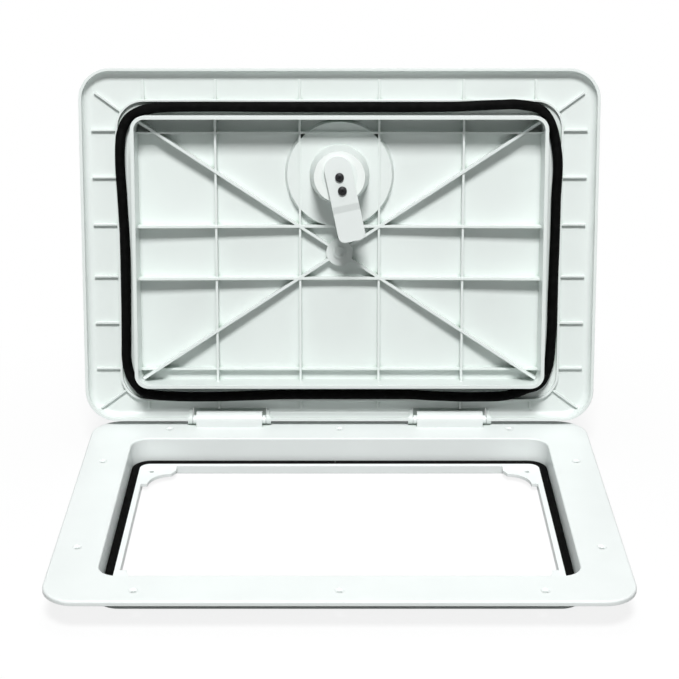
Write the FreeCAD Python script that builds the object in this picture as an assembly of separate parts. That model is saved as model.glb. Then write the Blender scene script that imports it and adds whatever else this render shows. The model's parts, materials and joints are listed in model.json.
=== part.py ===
import FreeCAD, Part
import math
import os

# A moulded deck access hatch for a boat, standing open as it is shown in use.
# A flat flanged frame is screwed down over a cut-out in the deck.  Inside it is a
# recess with a ledge that carries a rubber strip.  The lid is one ribbed moulding:
# a plate with a soft round edge, a deep box wall that drops into the recess, ribs
# and diagonals inside the box, and a round dish for the turning handle.  A rubber
# cord lies loose round the box wall.  The handle's shaft comes through a hub and
# carries a cam arm, which hooks under the frame when the lid is shut and locked.
#
# Origin: centre of the screw pattern on the deck plane, which is the flange's
# underside.  +Z is up, +X is along the hinge line, +Y is towards the hinge.
# Millimetres.  The lid is drawn shut and then turned open about the hinge axis.

Vector = FreeCAD.Vector
X_AXIS = Vector(1, 0, 0)
Z_AXIS = Vector(0, 0, 1)

# Frame
frame_width = 450.0
frame_corner_radius = 27.0
frame_front_y = -162.0
flange_thickness = 4.0
flange_edge_radius = 1.8
recess_centre_y = 1.0
recess_width = 372.0
recess_depth_y = 247.8
recess_corner_radius = 16.0
recess_wall = 3.0
recess_edge_radius = 1.2

# Ledge, lip and corner tabs inside the frame
gasket_width = 7.0
gasket_thickness = 3.0
gasket_top_depth = 21.8
gasket_groove_depth = 2.9
gasket_joint_gap = 0.5
gasket_joint_x = -4.0
ledge_thickness = 2.8
lip_width = 4.5
lip_height = 7.4
tab_thickness = 3.0
tab_reach_x = 28.4
tab_reach_y = 35.4
tab_end_land = 5.5
tab_straight = 9.1
tab_bevel_x = 3.4
tab_bevel_y = 6.3
tab_arc_sag = 5.4
tab_hole_diameter = 4.0
tab_hole_inset_x = 7.1
tab_hole_inset_y = 11.8

# Deck screws
screw_hole_diameter = 4.5
screw_sink_diameter = 7.6
screw_end_inset = 16.0
screw_row_half_x = 154.8
screw_side_inset = 18.1
screw_side_half_y = 78.1

# Hinge
opening_angle = 102.0
hinge_to_box_centre = 155.3
hinge_height = 8.6
hinge_centre_x = 100.7
knuckle_width = 60.0
knuckle_side_boss = 3.2
knuckle_notch_gap = 0.4
notch_front_gap = 1.8
heel_slot = 0.6
heel_thickness = 2.2
heel_clearance = 0.05
ear_thickness = 4.4
ear_radius = 4.1
ear_gusset_reach = 8.0
ear_gusset_thickness = 3.0
ear_gusset_toe = 1.5
pin_diameter = 4.0
pin_running_clearance = 0.05
pin_end_chamfer = 0.5

# Lid plate and its edge
lid_width = 463.0
lid_rear_overhang = 0.5
lid_length = 318.5
lid_corner_radius = 28.0
lid_plate = 3.2
lid_rim_wall = 2.6
lid_edge_radius = 9.0
lid_above_flange = 0.8

# Box wall and ribs under the lid; a rib's root is how far it runs into the plate
rib_root = 1.0
box_width = 367.2
box_length = 243.0
box_wall = 3.2
box_corner_radius = 12.0
box_rim_gap = 0.3
rib_thickness = 2.4
rib_shift_to_hinge = 1.0
rib_centre_height = 7.5
rib_height_slope = 0.036
main_rib_offset = 23.5
low_rib_step = 1.0
low_rib_thickness = 2.0
low_rib_inner_x = 35.4
low_rib_outer_x = 110.5
low_rib_row = 107.0
boss_radius = 12.0
boss_ring_radius = 5.6
boss_ring_width = 1.8
boss_ring_height = 1.0

# Cord seal, its channel and the stiffeners outside it
cord_diameter = 8.9
cord_flange_gap = 0.3
cord_slack_x = 5.35
cord_slack_y = 4.35
cord_corner_radius = 28.0
cord_shift_to_hinge = 1.7
cord_side_gap = 0.1
ridge_width = 2.0
ridge_height = 3.6
ridge_corner_radius = 23.0
stiffener_thickness = 1.8
stiffener_height = 3.0
stiffener_edge_inset = 10.0
stiffener_outer_row = 108.0
stiffener_middle_row = 66.0
stiffener_outer_column = 174.7
corner_stiffener_angle = 36.0
corner_stiffener_length = 29.0

# Latch dish and hub in the lid
latch_to_box_centre = 69.0
dish_radius = 48.0
dish_drop = 8.0
dish_wall = 2.5
dish_draft = 2.5
hub_base_radius = 26.7
hub_end_radius = 22.4

# Handle, shaft, seals and cam arm
shaft_radius = 16.0
shaft_running_clearance = 0.08
shaft_ring_groove = 2.5
shaft_ring_depth = 2.6
shaft_ring_clearance = 0.2
shaft_ring_corner = 0.6
shaft_ring_first = 8.0
shaft_ring_pitch = 6.0
handle_disc_radius = 24.0
handle_disc_thickness = 3.0
handle_disc_edge = 1.0
handle_dish_gap = 0.3
handle_bar_length = 86.0
handle_bar_width = 20.0
handle_bar_waist = 15.0
handle_bar_end_radius = 8.0
handle_bar_edge_radius = 2.0
handle_bar_side_bevel = 1.4
handle_sunk = 0.6
washer_thickness = 0.8
washer_running_gap = 0.1
arm_width = 24.0
arm_reach = 57.5
arm_heel = 18.8
arm_thickness = 5.0
arm_corner_radius = 6.0
arm_joggle_start = 24.8
arm_joggle_length = 6.0
arm_joggle = 1.5
arm_lip_gap = 0.7
arm_rest_angle = 12.0
arm_screw_spacing = 12.0
arm_screw_diameter = 4.0
arm_screw_head = 7.8
arm_screw_head_height = 2.8
arm_screw_crown = 4.2
arm_screw_crown_height = 1.4
arm_screw_length = 18.0
arm_screw_point = 1.5
arm_screw_hole_gap = 0.1
screw_cross_length = 4.4
screw_cross_width = 1.0
screw_cross_depth = 1.2

# Levels and places that follow from the sizes above
flange_top = flange_thickness
gasket_top = flange_top - gasket_top_depth
ledge_top = gasket_top - gasket_thickness
strip_top = ledge_top + gasket_groove_depth
lip_bottom = strip_top - lip_height
clear_half_x = recess_width / 2 - gasket_width - lip_width
clear_half_y = recess_depth_y / 2 - gasket_width - lip_width
screw_row_half_y = -frame_front_y - screw_end_inset
screw_side_half_x = frame_width / 2 - screw_side_inset
hinge_y = recess_centre_y + hinge_to_box_centre
hinge_z = hinge_height
lid_under = flange_top + cord_flange_gap + cord_diameter
lid_top = lid_under + lid_plate
lid_rim_bottom = flange_top + lid_above_flange
lid_rear_y = hinge_y + lid_rear_overhang
lid_centre_y = lid_rear_y - lid_length / 2
rib_top = lid_under + rib_root
knuckle_radius = lid_top - hinge_z
frame_rear_y = hinge_y + knuckle_radius
frame_depth_y = frame_rear_y - frame_front_y
frame_centre_y = (frame_rear_y + frame_front_y) / 2
notch_half_width = knuckle_width / 2 + knuckle_side_boss + knuckle_notch_gap
notch_front_y = hinge_y - knuckle_radius - notch_front_gap
box_rim = gasket_top + box_rim_gap
rib_centre_y = recess_centre_y + rib_shift_to_hinge
seal_centre_y = recess_centre_y + cord_shift_to_hinge
cord_width = box_width + 2 * cord_slack_x + cord_diameter
cord_length = box_length + 2 * cord_slack_y + cord_diameter
ridge_inner_width = cord_width + cord_diameter + 2 * cord_side_gap
ridge_inner_length = cord_length + cord_diameter + 2 * cord_side_gap
latch_y = recess_centre_y - latch_to_box_centre
dish_under = lid_under - dish_drop
dish_floor = dish_under + dish_wall
arm_top_outer = lip_bottom - arm_lip_gap
arm_top_inner = arm_top_outer - arm_joggle
hub_end = arm_top_inner + washer_thickness + washer_running_gap
handle_bottom = dish_floor + handle_dish_gap
handle_top = lid_top - handle_sunk


def ring_edges(half_x, half_y, radius, centre_y, z):
    """The eight edges of a rectangle with round corners, at one height."""
    arcs = []
    for quarter, (side_x, side_y) in enumerate(((1, 1), (-1, 1), (-1, -1), (1, -1))):
        centre = Vector(side_x * (half_x - radius), centre_y + side_y * (half_y - radius), z)
        arcs.append(Part.makeCircle(radius, centre, Z_AXIS, 90 * quarter, 90 * quarter + 90))
    edges = []
    for arc, following in zip(arcs, arcs[1:] + arcs[:1]):
        end = arc.valueAt(arc.LastParameter)
        edges.append(arc)
        edges.append(Part.makeLine(end, following.valueAt(following.FirstParameter)))
    return edges


def rounded_block(width, length, radius, centre_y, bottom, top):
    """An upright block whose outline is a rectangle with round corners."""
    wire = Part.Wire(ring_edges(width / 2, length / 2, radius, centre_y, bottom))
    return Part.Face(wire).extrude(Vector(0, 0, top - bottom))


def wall_ring(width, length, radius, thickness, centre_y, bottom, top):
    """A closed wall inside the given outline."""
    outside = rounded_block(width, length, radius, centre_y, bottom, top)
    inside_width = width - 2 * thickness
    inside_length = length - 2 * thickness
    inside_radius = radius - thickness
    return outside.cut(rounded_block(inside_width, inside_length, inside_radius, centre_y, bottom, top))


def level_edges(shape, z):
    """The edges of a shape that lie flat at one height."""
    found = []
    for edge in shape.Edges:
        box = edge.BoundBox
        if abs(box.ZMin - z) < 1e-4 and abs(box.ZMax - z) < 1e-4:
            found.append(edge)
    return found


def block(x0, x1, y0, y1, z0, z1):
    """A plain box between two corners."""
    return Part.makeBox(x1 - x0, y1 - y0, z1 - z0, Vector(x0, y0, z0))


def side_prism(points, x0, x1):
    """A shape drawn from the side as (y, z) points and drawn out along X."""
    wire = Part.makePolygon([Vector(x0, y, z) for y, z in points + points[:1]])
    return Part.Face(wire).extrude(Vector(x1 - x0, 0, 0))


def rod_x(radius, x0, x1, y, z):
    """A round bar along X."""
    return Part.makeCylinder(radius, x1 - x0, Vector(x0, y, z), X_AXIS)


def turned(points, x, y):
    """A solid of revolution about an upright axis, from (radius, z) points."""
    wire = Part.makePolygon([Vector(x + r, y, z) for r, z in points + points[:1]])
    return Part.Face(wire).revolve(Vector(x, y, 0), Z_AXIS, 360)


def plate_rib(start, end, thickness, bottom, top):
    """A straight upright rib between two plan points."""
    along = Vector(end[0] - start[0], end[1] - start[1], 0)
    rib = Part.makeBox(along.Length, thickness, top - bottom, Vector(0, -thickness / 2, 0))
    rib.rotate(Vector(0, 0, 0), Z_AXIS, math.degrees(math.atan2(along.y, along.x)))
    rib.translate(Vector(start[0], start[1], bottom))
    return rib


def opened(shape):
    """A piece of the lid, drawn shut, turned to the open pose."""
    moved = shape.copy()
    moved.rotate(Vector(0, hinge_y, hinge_z), X_AXIS, -opening_angle)
    return moved


def open_point(y, z):
    """Where a point of the shut lid lies in the open pose, as (y, z)."""
    angle = math.radians(-opening_angle)
    cosine = math.cos(angle)
    sine = math.sin(angle)
    dy = y - hinge_y
    dz = z - hinge_z
    return hinge_y + dy * cosine - dz * sine, hinge_z + dy * sine + dz * cosine


def screw_places():
    """Plan places of the ten deck screws."""
    places = []
    for side in (-1, 1):
        for x in (-screw_row_half_x, 0.0, screw_row_half_x):
            places.append((x, side * screw_row_half_y))
        for y in (-screw_side_half_y, screw_side_half_y):
            places.append((side * screw_side_half_x, y))
    return places


def screw_hole(x, y):
    """A through hole with a countersink at the flange's top."""
    hole = screw_hole_diameter / 2
    sink = screw_sink_diameter / 2
    sink_bottom = flange_top - (sink - hole)
    above = flange_top + 1
    points = [(0, -1), (hole, -1), (hole, sink_bottom), (sink, flange_top), (sink, above), (0, above)]
    return turned(points, x, y)


def corner_tab():
    """One inside corner tab: a flat web with a concave edge and a small hole."""
    bury = lip_width / 3
    far_x = clear_half_x + bury
    far_y = clear_half_y + bury
    near_x = clear_half_x - tab_reach_x
    near_y = clear_half_y - tab_reach_y
    shoulder = Vector(near_x, clear_half_y - tab_straight, 0)
    arc_start = shoulder.add(Vector(tab_bevel_x, -tab_bevel_y, 0))
    arc_end = Vector(clear_half_x - tab_end_land, near_y, 0)
    chord = arc_end.sub(arc_start)
    outward = Vector(-chord.y, chord.x, 0).normalize()
    middle = arc_start.add(arc_end).multiply(0.5).add(outward.multiply(tab_arc_sag))
    rear = Vector(near_x, far_y, 0)
    corner = Vector(far_x, far_y, 0)
    side = Vector(far_x, near_y, 0)
    edges = [Part.makeLine(rear, shoulder), Part.makeLine(shoulder, arc_start)]
    edges.append(Part.Arc(arc_start, middle, arc_end).toShape())
    edges += [Part.makeLine(arc_end, side), Part.makeLine(side, corner), Part.makeLine(corner, rear)]
    web = Part.Face(Part.Wire(edges)).extrude(Vector(0, 0, tab_thickness))
    hole_at = Vector(clear_half_x - tab_hole_inset_x, clear_half_y - tab_hole_inset_y, -1)
    web = web.cut(Part.makeCylinder(tab_hole_diameter / 2, tab_thickness + 2, hole_at, Z_AXIS))
    web.translate(Vector(0, recess_centre_y, strip_top - tab_thickness))
    return web


def four_corners(shape):
    """A corner shape mirrored into all four corners about the recess centre."""
    centre = Vector(0, recess_centre_y, 0)
    right = [shape, shape.mirror(centre, Vector(0, 1, 0))]
    return right + [one.mirror(centre, X_AXIS) for one in right]


def knuckle_heel(x0, x1):
    """The upright heel behind a knuckle, which the edge of the lid's notch leans on when open."""
    front = frame_rear_y + heel_slot
    rear = front + heel_thickness
    inner_y, inner_z = open_point(notch_front_y, lid_under)
    outer_y, outer_z = open_point(notch_front_y, lid_top)
    slope = (outer_z - inner_z) / (outer_y - inner_y)
    front_top = inner_z + slope * (front - inner_y) - heel_clearance
    rear_top = inner_z + slope * (rear - inner_y) - heel_clearance
    points = [(hinge_y, 0), (hinge_y, hinge_z), (front, hinge_z), (front, front_top), (rear, rear_top),
              (rear, flange_top), (frame_rear_y, 0)]
    return side_prism(points, x0, x1)


def knuckle(centre_x):
    """One wide hinge knuckle that stands on the flange, with its side bosses and its heel."""
    half = knuckle_width / 2
    x0 = centre_x - half
    x1 = centre_x + half
    barrel = rod_x(knuckle_radius, x0, x1, hinge_y, hinge_z)
    base = block(x0, x1, hinge_y - knuckle_radius, frame_rear_y, 0, hinge_z)
    bosses = rod_x(ear_radius, x0 - knuckle_side_boss, x1 + knuckle_side_boss, hinge_y, hinge_z)
    heel = knuckle_heel(x0 - knuckle_side_boss, x1 + knuckle_side_boss)
    return barrel.fuse([base, bosses, heel])


def on_recess_edge(edge):
    """True for an edge of the flange's top that runs round the recess."""
    box = edge.BoundBox
    reach_x = max(abs(box.XMin), abs(box.XMax))
    reach_y = max(abs(box.YMin - recess_centre_y), abs(box.YMax - recess_centre_y))
    return reach_x < recess_width / 2 + 1 and reach_y < recess_depth_y / 2 + 1


def frame_shell():
    """The flange with the recess through it, down to the ledge."""
    body = rounded_block(frame_width, frame_depth_y, frame_corner_radius, frame_centre_y, 0, flange_top)
    body = body.makeFillet(flange_edge_radius, level_edges(body, flange_top))
    wall_x = recess_width + 2 * recess_wall
    wall_y = recess_depth_y + 2 * recess_wall
    wall_radius = recess_corner_radius + recess_wall
    wall_bottom = ledge_top - ledge_thickness
    wall_top = flange_top - flange_edge_radius
    body = body.fuse(rounded_block(wall_x, wall_y, wall_radius, recess_centre_y, wall_bottom, wall_top))
    hollow = (recess_width, recess_depth_y, recess_corner_radius, recess_centre_y, ledge_top, flange_top)
    body = body.cut(rounded_block(*hollow))
    rim = [edge for edge in level_edges(body, flange_top) if on_recess_edge(edge)]
    return body.makeFillet(recess_edge_radius, rim)


def make_frame():
    """The deck frame: flange, recess, ledge, lip, corner tabs and hinge knuckles."""
    lip_radius = recess_corner_radius - gasket_width
    lip = (2 * (clear_half_x + lip_width), 2 * (clear_half_y + lip_width), lip_radius)
    clear = (2 * clear_half_x, 2 * clear_half_y, lip_radius - lip_width)
    body = frame_shell().fuse(rounded_block(*lip, recess_centre_y, lip_bottom, strip_top))
    body = body.cut(rounded_block(*clear, recess_centre_y, lip_bottom - 1, flange_top + 1))
    body = body.fuse(four_corners(corner_tab()) + [knuckle(-hinge_centre_x), knuckle(hinge_centre_x)])
    holes = [screw_hole(x, y) for x, y in screw_places()]
    bore_radius = pin_diameter / 2 + pin_running_clearance
    bore = rod_x(bore_radius, -frame_width / 2, frame_width / 2, hinge_y, hinge_z)
    return body.cut(holes + [bore]).removeSplitter()


def make_frame_gasket():
    """The flat rubber strip on the ledge, cut and butted at the middle of the rear."""
    strip = wall_ring(recess_width, recess_depth_y, recess_corner_radius, gasket_width, recess_centre_y,
                      ledge_top, gasket_top)
    x0 = gasket_joint_x - gasket_joint_gap / 2
    rear = recess_centre_y + recess_depth_y / 2
    cut = block(x0, x0 + gasket_joint_gap, rear - 2 * gasket_width, rear + 1, ledge_top - 1, gasket_top + 1)
    return strip.cut(cut)


def lid_shell():
    """The lid's plate with its round edge and turned-down rim."""
    outside = rounded_block(lid_width, lid_length, lid_corner_radius, lid_centre_y, lid_rim_bottom, lid_top)
    outside = outside.makeFillet(lid_edge_radius, level_edges(outside, lid_top))
    width = lid_width - 2 * lid_rim_wall
    length = lid_length - 2 * lid_rim_wall
    radius = lid_corner_radius - lid_rim_wall
    inside = rounded_block(width, length, radius, lid_centre_y, lid_rim_bottom - 1, lid_under)
    inside = inside.makeFillet(lid_edge_radius - lid_rim_wall, level_edges(inside, lid_under))
    return outside.cut(inside)


def below_crests(ribs, centre_height):
    """The ribs cut down to a shallow cone, so that their crests fall towards the boss."""
    reach = box_width
    centre_z = lid_under - centre_height
    outer_z = centre_z - rib_height_slope * reach
    envelope = turned([(0, rib_top), (reach, rib_top), (reach, outer_z), (0, centre_z)], 0, rib_centre_y)
    return [rib.common(envelope) for rib in ribs]


def box_and_ribs():
    """The deep box wall under the lid, with its ribs, diagonals and centre boss."""
    wall = wall_ring(box_width, box_length, box_corner_radius, box_wall, recess_centre_y, box_rim, rib_top)
    half_x = box_width / 2 - box_wall / 2
    half_y = box_length / 2 - box_wall / 2
    front_y = recess_centre_y - half_y
    rear_y = recess_centre_y + half_y
    corner_x = box_width / 2 - box_corner_radius / 2
    corner_y = box_length / 2 - box_corner_radius / 2
    levels = (box_rim, rib_top)
    main_ribs = []
    low_ribs = []
    for side in (-1, 1):
        corner = (side * corner_x, recess_centre_y + corner_y)
        main_ribs.append(plate_rib((0, rib_centre_y), corner, rib_thickness, *levels))
        corner = (side * corner_x, recess_centre_y - corner_y)
        main_ribs.append(plate_rib((0, rib_centre_y), corner, rib_thickness, *levels))
        y = rib_centre_y + side * main_rib_offset
        main_ribs.append(plate_rib((-half_x, y), (half_x, y), rib_thickness, *levels))
        y = rib_centre_y + side * low_rib_row
        low_ribs.append(plate_rib((-half_x, y), (half_x, y), low_rib_thickness, *levels))
        for x in (side * low_rib_inner_x, side * low_rib_outer_x):
            low_ribs.append(plate_rib((x, front_y), (x, rear_y), low_rib_thickness, *levels))
    pieces = below_crests(main_ribs, rib_centre_height)
    pieces += below_crests(low_ribs, rib_centre_height - low_rib_step)
    return [wall] + pieces + boss_and_ring()


def boss_and_ring():
    """The round boss where the diagonals meet, with the small ring on its end."""
    end = lid_under - rib_centre_height - rib_height_slope * boss_radius
    boss = Part.makeCylinder(boss_radius, rib_top - end, Vector(0, rib_centre_y, end), Z_AXIS)
    inner = boss_ring_radius - boss_ring_width
    root = end + rib_root
    tip = end - boss_ring_height
    ring = [(inner, root), (boss_ring_radius, root), (boss_ring_radius, tip), (inner, tip)]
    return [boss, turned(ring, 0, rib_centre_y)]


def ridge_and_stiffeners():
    """The thin ridge outside the cord and the low stiffeners on the lid's outer band."""
    width = ridge_inner_width + 2 * ridge_width
    length = ridge_inner_length + 2 * ridge_width
    radius = ridge_corner_radius + ridge_width
    ridge_bottom = lid_under - ridge_height
    ridge = wall_ring(width, length, radius, ridge_width, seal_centre_y, ridge_bottom, rib_top)
    bottom = lid_under - stiffener_height
    inner_x = (width - ridge_width) / 2
    outer_x = lid_width / 2 - stiffener_edge_inset
    inner_y = (length - ridge_width) / 2
    front_y = lid_centre_y - lid_length / 2 + stiffener_edge_inset
    rear_y = lid_rear_y - stiffener_edge_inset
    ribs = []
    for side in (-1, 1):
        for row in (main_rib_offset, stiffener_middle_row, stiffener_outer_row):
            for y in (recess_centre_y - row, recess_centre_y + row):
                run = ((side * inner_x, y), (side * outer_x, y))
                ribs.append(plate_rib(*run, stiffener_thickness, bottom, rib_top))
        for column in (low_rib_inner_x, low_rib_outer_x, stiffener_outer_column):
            x = side * column
            for y0, y1 in ((seal_centre_y - inner_y, front_y), (seal_centre_y + inner_y, rear_y)):
                ribs.append(plate_rib((x, y0), (x, y1), stiffener_thickness, bottom, rib_top))
    return [ridge] + ribs + corner_stiffeners(bottom)


def corner_stiffeners(bottom):
    """Stiffeners that run out from the middles of the ridge's round corners."""
    angle = math.radians(corner_stiffener_angle)
    near = ridge_corner_radius + ridge_width / 2
    far = near + corner_stiffener_length
    centre_x = ridge_inner_width / 2 - ridge_corner_radius
    centre_y = ridge_inner_length / 2 - ridge_corner_radius
    ribs = []
    for side_x in (-1, 1):
        for side_y in (-1, 1):
            run = []
            for reach in (near, far):
                x = side_x * (centre_x + reach * math.cos(angle))
                y = seal_centre_y + side_y * (centre_y + reach * math.sin(angle))
                run.append((x, y))
            ribs.append(plate_rib(*run, stiffener_thickness, bottom, rib_top))
    return ribs


def lid_ears():
    """Round ears beside each notch, which carry the hinge pins, with small gussets."""
    root = lid_under + rib_root
    front = hinge_y - ear_gusset_reach
    below = hinge_z - ear_radius
    gusset = [(hinge_y, hinge_z), (hinge_y, root), (front, root), (front, lid_under - ear_gusset_toe),
              (hinge_y - ear_radius, below + ear_gusset_toe), (hinge_y, below)]
    ears = []
    for centre in (-hinge_centre_x, hinge_centre_x):
        for side in (-1, 1):
            inner = centre + side * notch_half_width
            x0, x1 = sorted((inner, inner + side * ear_thickness))
            ears.append(rod_x(ear_radius, x0, x1, hinge_y, hinge_z))
            x0, x1 = sorted((inner, inner + side * ear_gusset_thickness))
            ears.append(side_prism(gusset, x0, x1))
    return ears


def dish_and_hub():
    """The round latch dish sunk into the lid and the conical hub below it."""
    base = dish_radius + dish_draft / 2
    end = dish_radius - dish_draft / 2
    root = dish_under + rib_root
    outside = [(0, dish_under), (end, dish_under), (base, rib_top), (0, rib_top)]
    hub = [(0, hub_end), (hub_end_radius, hub_end), (hub_base_radius, dish_under),
           (hub_base_radius, root), (0, root)]
    return [turned(outside, 0, latch_y), turned(hub, 0, latch_y)]


def dish_hollow():
    """What is cut from the lid's outer side: the dish's inside and the shaft bore."""
    base = dish_radius + dish_draft / 2 - dish_wall
    end = dish_radius - dish_draft / 2 - dish_wall
    above = lid_top + 1
    inside = [(0, dish_floor), (end, dish_floor), (base, lid_under), (base, above), (0, above)]
    bore = shaft_radius + shaft_running_clearance
    hole = [(0, hub_end - 1), (bore, hub_end - 1), (bore, dish_floor + 1), (0, dish_floor + 1)]
    return [turned(inside, 0, latch_y), turned(hole, 0, latch_y)]


def make_lid():
    """The whole lid moulding, drawn shut."""
    body = lid_shell().fuse(box_and_ribs() + ridge_and_stiffeners() + dish_and_hub())
    cuts = dish_hollow()
    for centre in (-hinge_centre_x, hinge_centre_x):
        x0 = centre - notch_half_width
        x1 = centre + notch_half_width
        cuts.append(block(x0, x1, notch_front_y, lid_rear_y + 1, lid_rim_bottom - 1, lid_top + 1))
    body = body.cut(cuts).fuse(lid_ears())
    pin_bore = rod_x(pin_diameter / 2, -lid_width / 2, lid_width / 2, hinge_y, hinge_z)
    return body.cut(pin_bore).removeSplitter()


def make_lid_cord():
    """The round rubber cord that lies in the channel round the box wall."""
    z = lid_under - cord_diameter / 2
    edges = ring_edges(cord_width / 2, cord_length / 2, cord_corner_radius, seal_centre_y, z)
    start = edges[0].valueAt(edges[0].FirstParameter)
    section = Part.Wire(Part.makeCircle(cord_diameter / 2, start, Vector(0, 1, 0)))
    return Part.Wire(edges).makePipeShell([section], True, False)


def make_hinge_pin(centre_x):
    """A steel pin through the knuckle and both ears."""
    half = notch_half_width + ear_thickness
    pin = rod_x(pin_diameter / 2, centre_x - half, centre_x + half, hinge_y, hinge_z)
    ends = [edge for edge in pin.Edges if edge.Closed]
    return pin.makeChamfer(pin_end_chamfer, ends)


def handle_bar(disc_top):
    """The grip bar across the handle's disc, with a hollow at each side for the fingers."""
    bottom = disc_top - handle_disc_edge
    bar = rounded_block(handle_bar_width, handle_bar_length, handle_bar_end_radius, 0, bottom, handle_top)
    bar = bar.makeFillet(handle_bar_edge_radius, level_edges(bar, handle_top))
    sag = (handle_bar_width - handle_bar_waist) / 2
    half_chord = handle_bar_length / 2 - handle_bar_end_radius
    hollow = (half_chord ** 2 + sag ** 2) / (2 * sag)
    bevel = handle_bar_side_bevel
    points = [(0, bottom - 1), (hollow, bottom - 1), (hollow, handle_top - bevel),
              (hollow + bevel + 1, handle_top + 1), (0, handle_top + 1)]
    cutters = [turned(points, side * (handle_bar_waist / 2 + hollow), 0) for side in (-1, 1)]
    return bar.cut(cutters)


def ring_groove_top(number):
    """The upper side of one of the two ring grooves in the shaft, counted from the dish."""
    return dish_floor - shaft_ring_first - number * shaft_ring_pitch


def make_handle():
    """The flush turning handle with its shaft, drawn with the bar along Y."""
    disc_top = handle_bottom + handle_disc_thickness
    base = Vector(0, 0, handle_bottom)
    disc = Part.makeCylinder(handle_disc_radius, handle_disc_thickness, base, Z_AXIS)
    disc = disc.makeChamfer(handle_disc_edge, level_edges(disc, disc_top))
    shaft_length = disc_top - handle_disc_edge - arm_top_inner
    shaft = Part.makeCylinder(shaft_radius, shaft_length, Vector(0, 0, arm_top_inner), Z_AXIS)
    floor = shaft_radius - shaft_ring_depth
    cuts = []
    for number in (0, 1):
        top = ring_groove_top(number)
        low = top - shaft_ring_groove
        outside = shaft_radius + 1
        cuts.append(turned([(floor, low), (outside, low), (outside, top), (floor, top)], 0, 0))
    depth = arm_screw_length - arm_thickness + arm_screw_point
    for place in (0.0, arm_screw_spacing):
        mouth = Vector(0, place, arm_top_inner)
        cuts.append(Part.makeCylinder(arm_screw_diameter / 2, depth, mouth, Z_AXIS))
    return disc.fuse([shaft, handle_bar(disc_top)]).cut(cuts)


def make_shaft_rings():
    """Two rubber rings in the shaft's grooves, with their corners pressed flat."""
    inner = shaft_radius - shaft_ring_depth
    outer = shaft_radius - shaft_ring_clearance
    corner = shaft_ring_corner
    rings = []
    for number in (0, 1):
        middle = ring_groove_top(number) - shaft_ring_groove / 2
        low = middle - (outer - inner) / 2
        high = middle + (outer - inner) / 2
        section = [(inner, low + corner), (inner + corner, low),
                   (outer - corner, low), (outer, low + corner),
                   (outer, high - corner), (outer - corner, high),
                   (inner + corner, high), (inner, high - corner)]
        rings.append(turned(section, 0, 0))
    return Part.makeCompound(rings)


def make_washer():
    """The thin wear washer between the hub's end and the arm."""
    inner = shaft_radius
    outer = hub_end_radius
    low = arm_top_inner
    high = low + washer_thickness
    return turned([(inner, low), (outer, low), (outer, high), (inner, high)], 0, 0)


def arm_outline():
    """The arm's plan: a round heel, straight sides and a squared end with round corners."""
    half = arm_width / 2
    heel_y = half - arm_heel
    shoulder_y = arm_reach - arm_corner_radius
    corner_x = half - arm_corner_radius
    middle = arm_corner_radius * math.cos(math.radians(45))
    z = arm_top_outer
    edges = [Part.Arc(Vector(-half, heel_y, z), Vector(0, -arm_heel, z), Vector(half, heel_y, z)).toShape(),
             Part.makeLine(Vector(half, heel_y, z), Vector(half, shoulder_y, z))]
    for side in (1, -1):
        ends = [Vector(side * half, shoulder_y, z), Vector(side * corner_x, arm_reach, z)][::side]
        bulge = Vector(side * (corner_x + middle), shoulder_y + middle, z)
        edges.append(Part.Arc(ends[0], bulge, ends[1]).toShape())
        if side == 1:
            edges.append(Part.makeLine(ends[1], Vector(-corner_x, arm_reach, z)))
    edges.append(Part.makeLine(Vector(-half, shoulder_y, z), Vector(-half, heel_y, z)))
    return Part.Face(Part.Wire(edges))


def make_cam_arm():
    """The cam arm with a small joggle, drawn along +Y from its pivot."""
    deep = arm_thickness + arm_joggle + 1
    plan = arm_outline().extrude(Vector(0, 0, -deep))
    a = arm_joggle_start
    b = a + arm_joggle_length
    start = -arm_heel - 1
    end = arm_reach + 1
    side = [(start, arm_top_inner), (a, arm_top_inner), (b, arm_top_outer), (end, arm_top_outer),
            (end, arm_top_outer - arm_thickness), (b, arm_top_outer - arm_thickness),
            (a, arm_top_inner - arm_thickness), (start, arm_top_inner - arm_thickness)]
    arm = plan.common(side_prism(side, -arm_width, arm_width))
    hole = arm_screw_diameter / 2 + arm_screw_hole_gap
    bottom = arm_top_inner - deep
    return arm.cut([Part.makeCylinder(hole, deep + 2, Vector(0, place, bottom), Z_AXIS)
                    for place in (0.0, arm_screw_spacing)])


def cam_screw(place):
    """One pan head screw with a cross recess, driven up through the arm."""
    under_head = arm_top_inner - arm_thickness
    crown = under_head - arm_screw_head_height
    tip = under_head + arm_screw_length
    head = arm_screw_head / 2
    shank = arm_screw_diameter / 2
    profile = [(0, crown), (arm_screw_crown / 2, crown), (head, crown + arm_screw_crown_height),
               (head, under_head), (shank, under_head), (shank, tip - arm_screw_point), (0, tip)]
    long = screw_cross_length / 2
    wide = screw_cross_width / 2
    deep = crown + screw_cross_depth
    cross = [block(-long, long, -wide, wide, crown - 1, deep)]
    cross.append(block(-wide, wide, -long, long, crown - 1, deep))
    screw = turned(profile, 0, 0).cut(cross)
    screw.translate(Vector(0, place, 0))
    return screw


def latched(shape):
    """A piece of the latch, drawn about its own axis, turned and set in the lid."""
    moved = shape.copy()
    moved.rotate(Vector(0, 0, 0), Z_AXIS, -arm_rest_angle)
    moved.translate(Vector(0, latch_y, 0))
    return opened(moved)


def save(name, shape):
    """Write one piece to its own file."""
    shape.exportStep(os.path.join("parts", name + ".step"))
    print(name, "solids", len(shape.Solids), "volume", round(shape.Volume, 1), "valid", shape.isValid())


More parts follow.
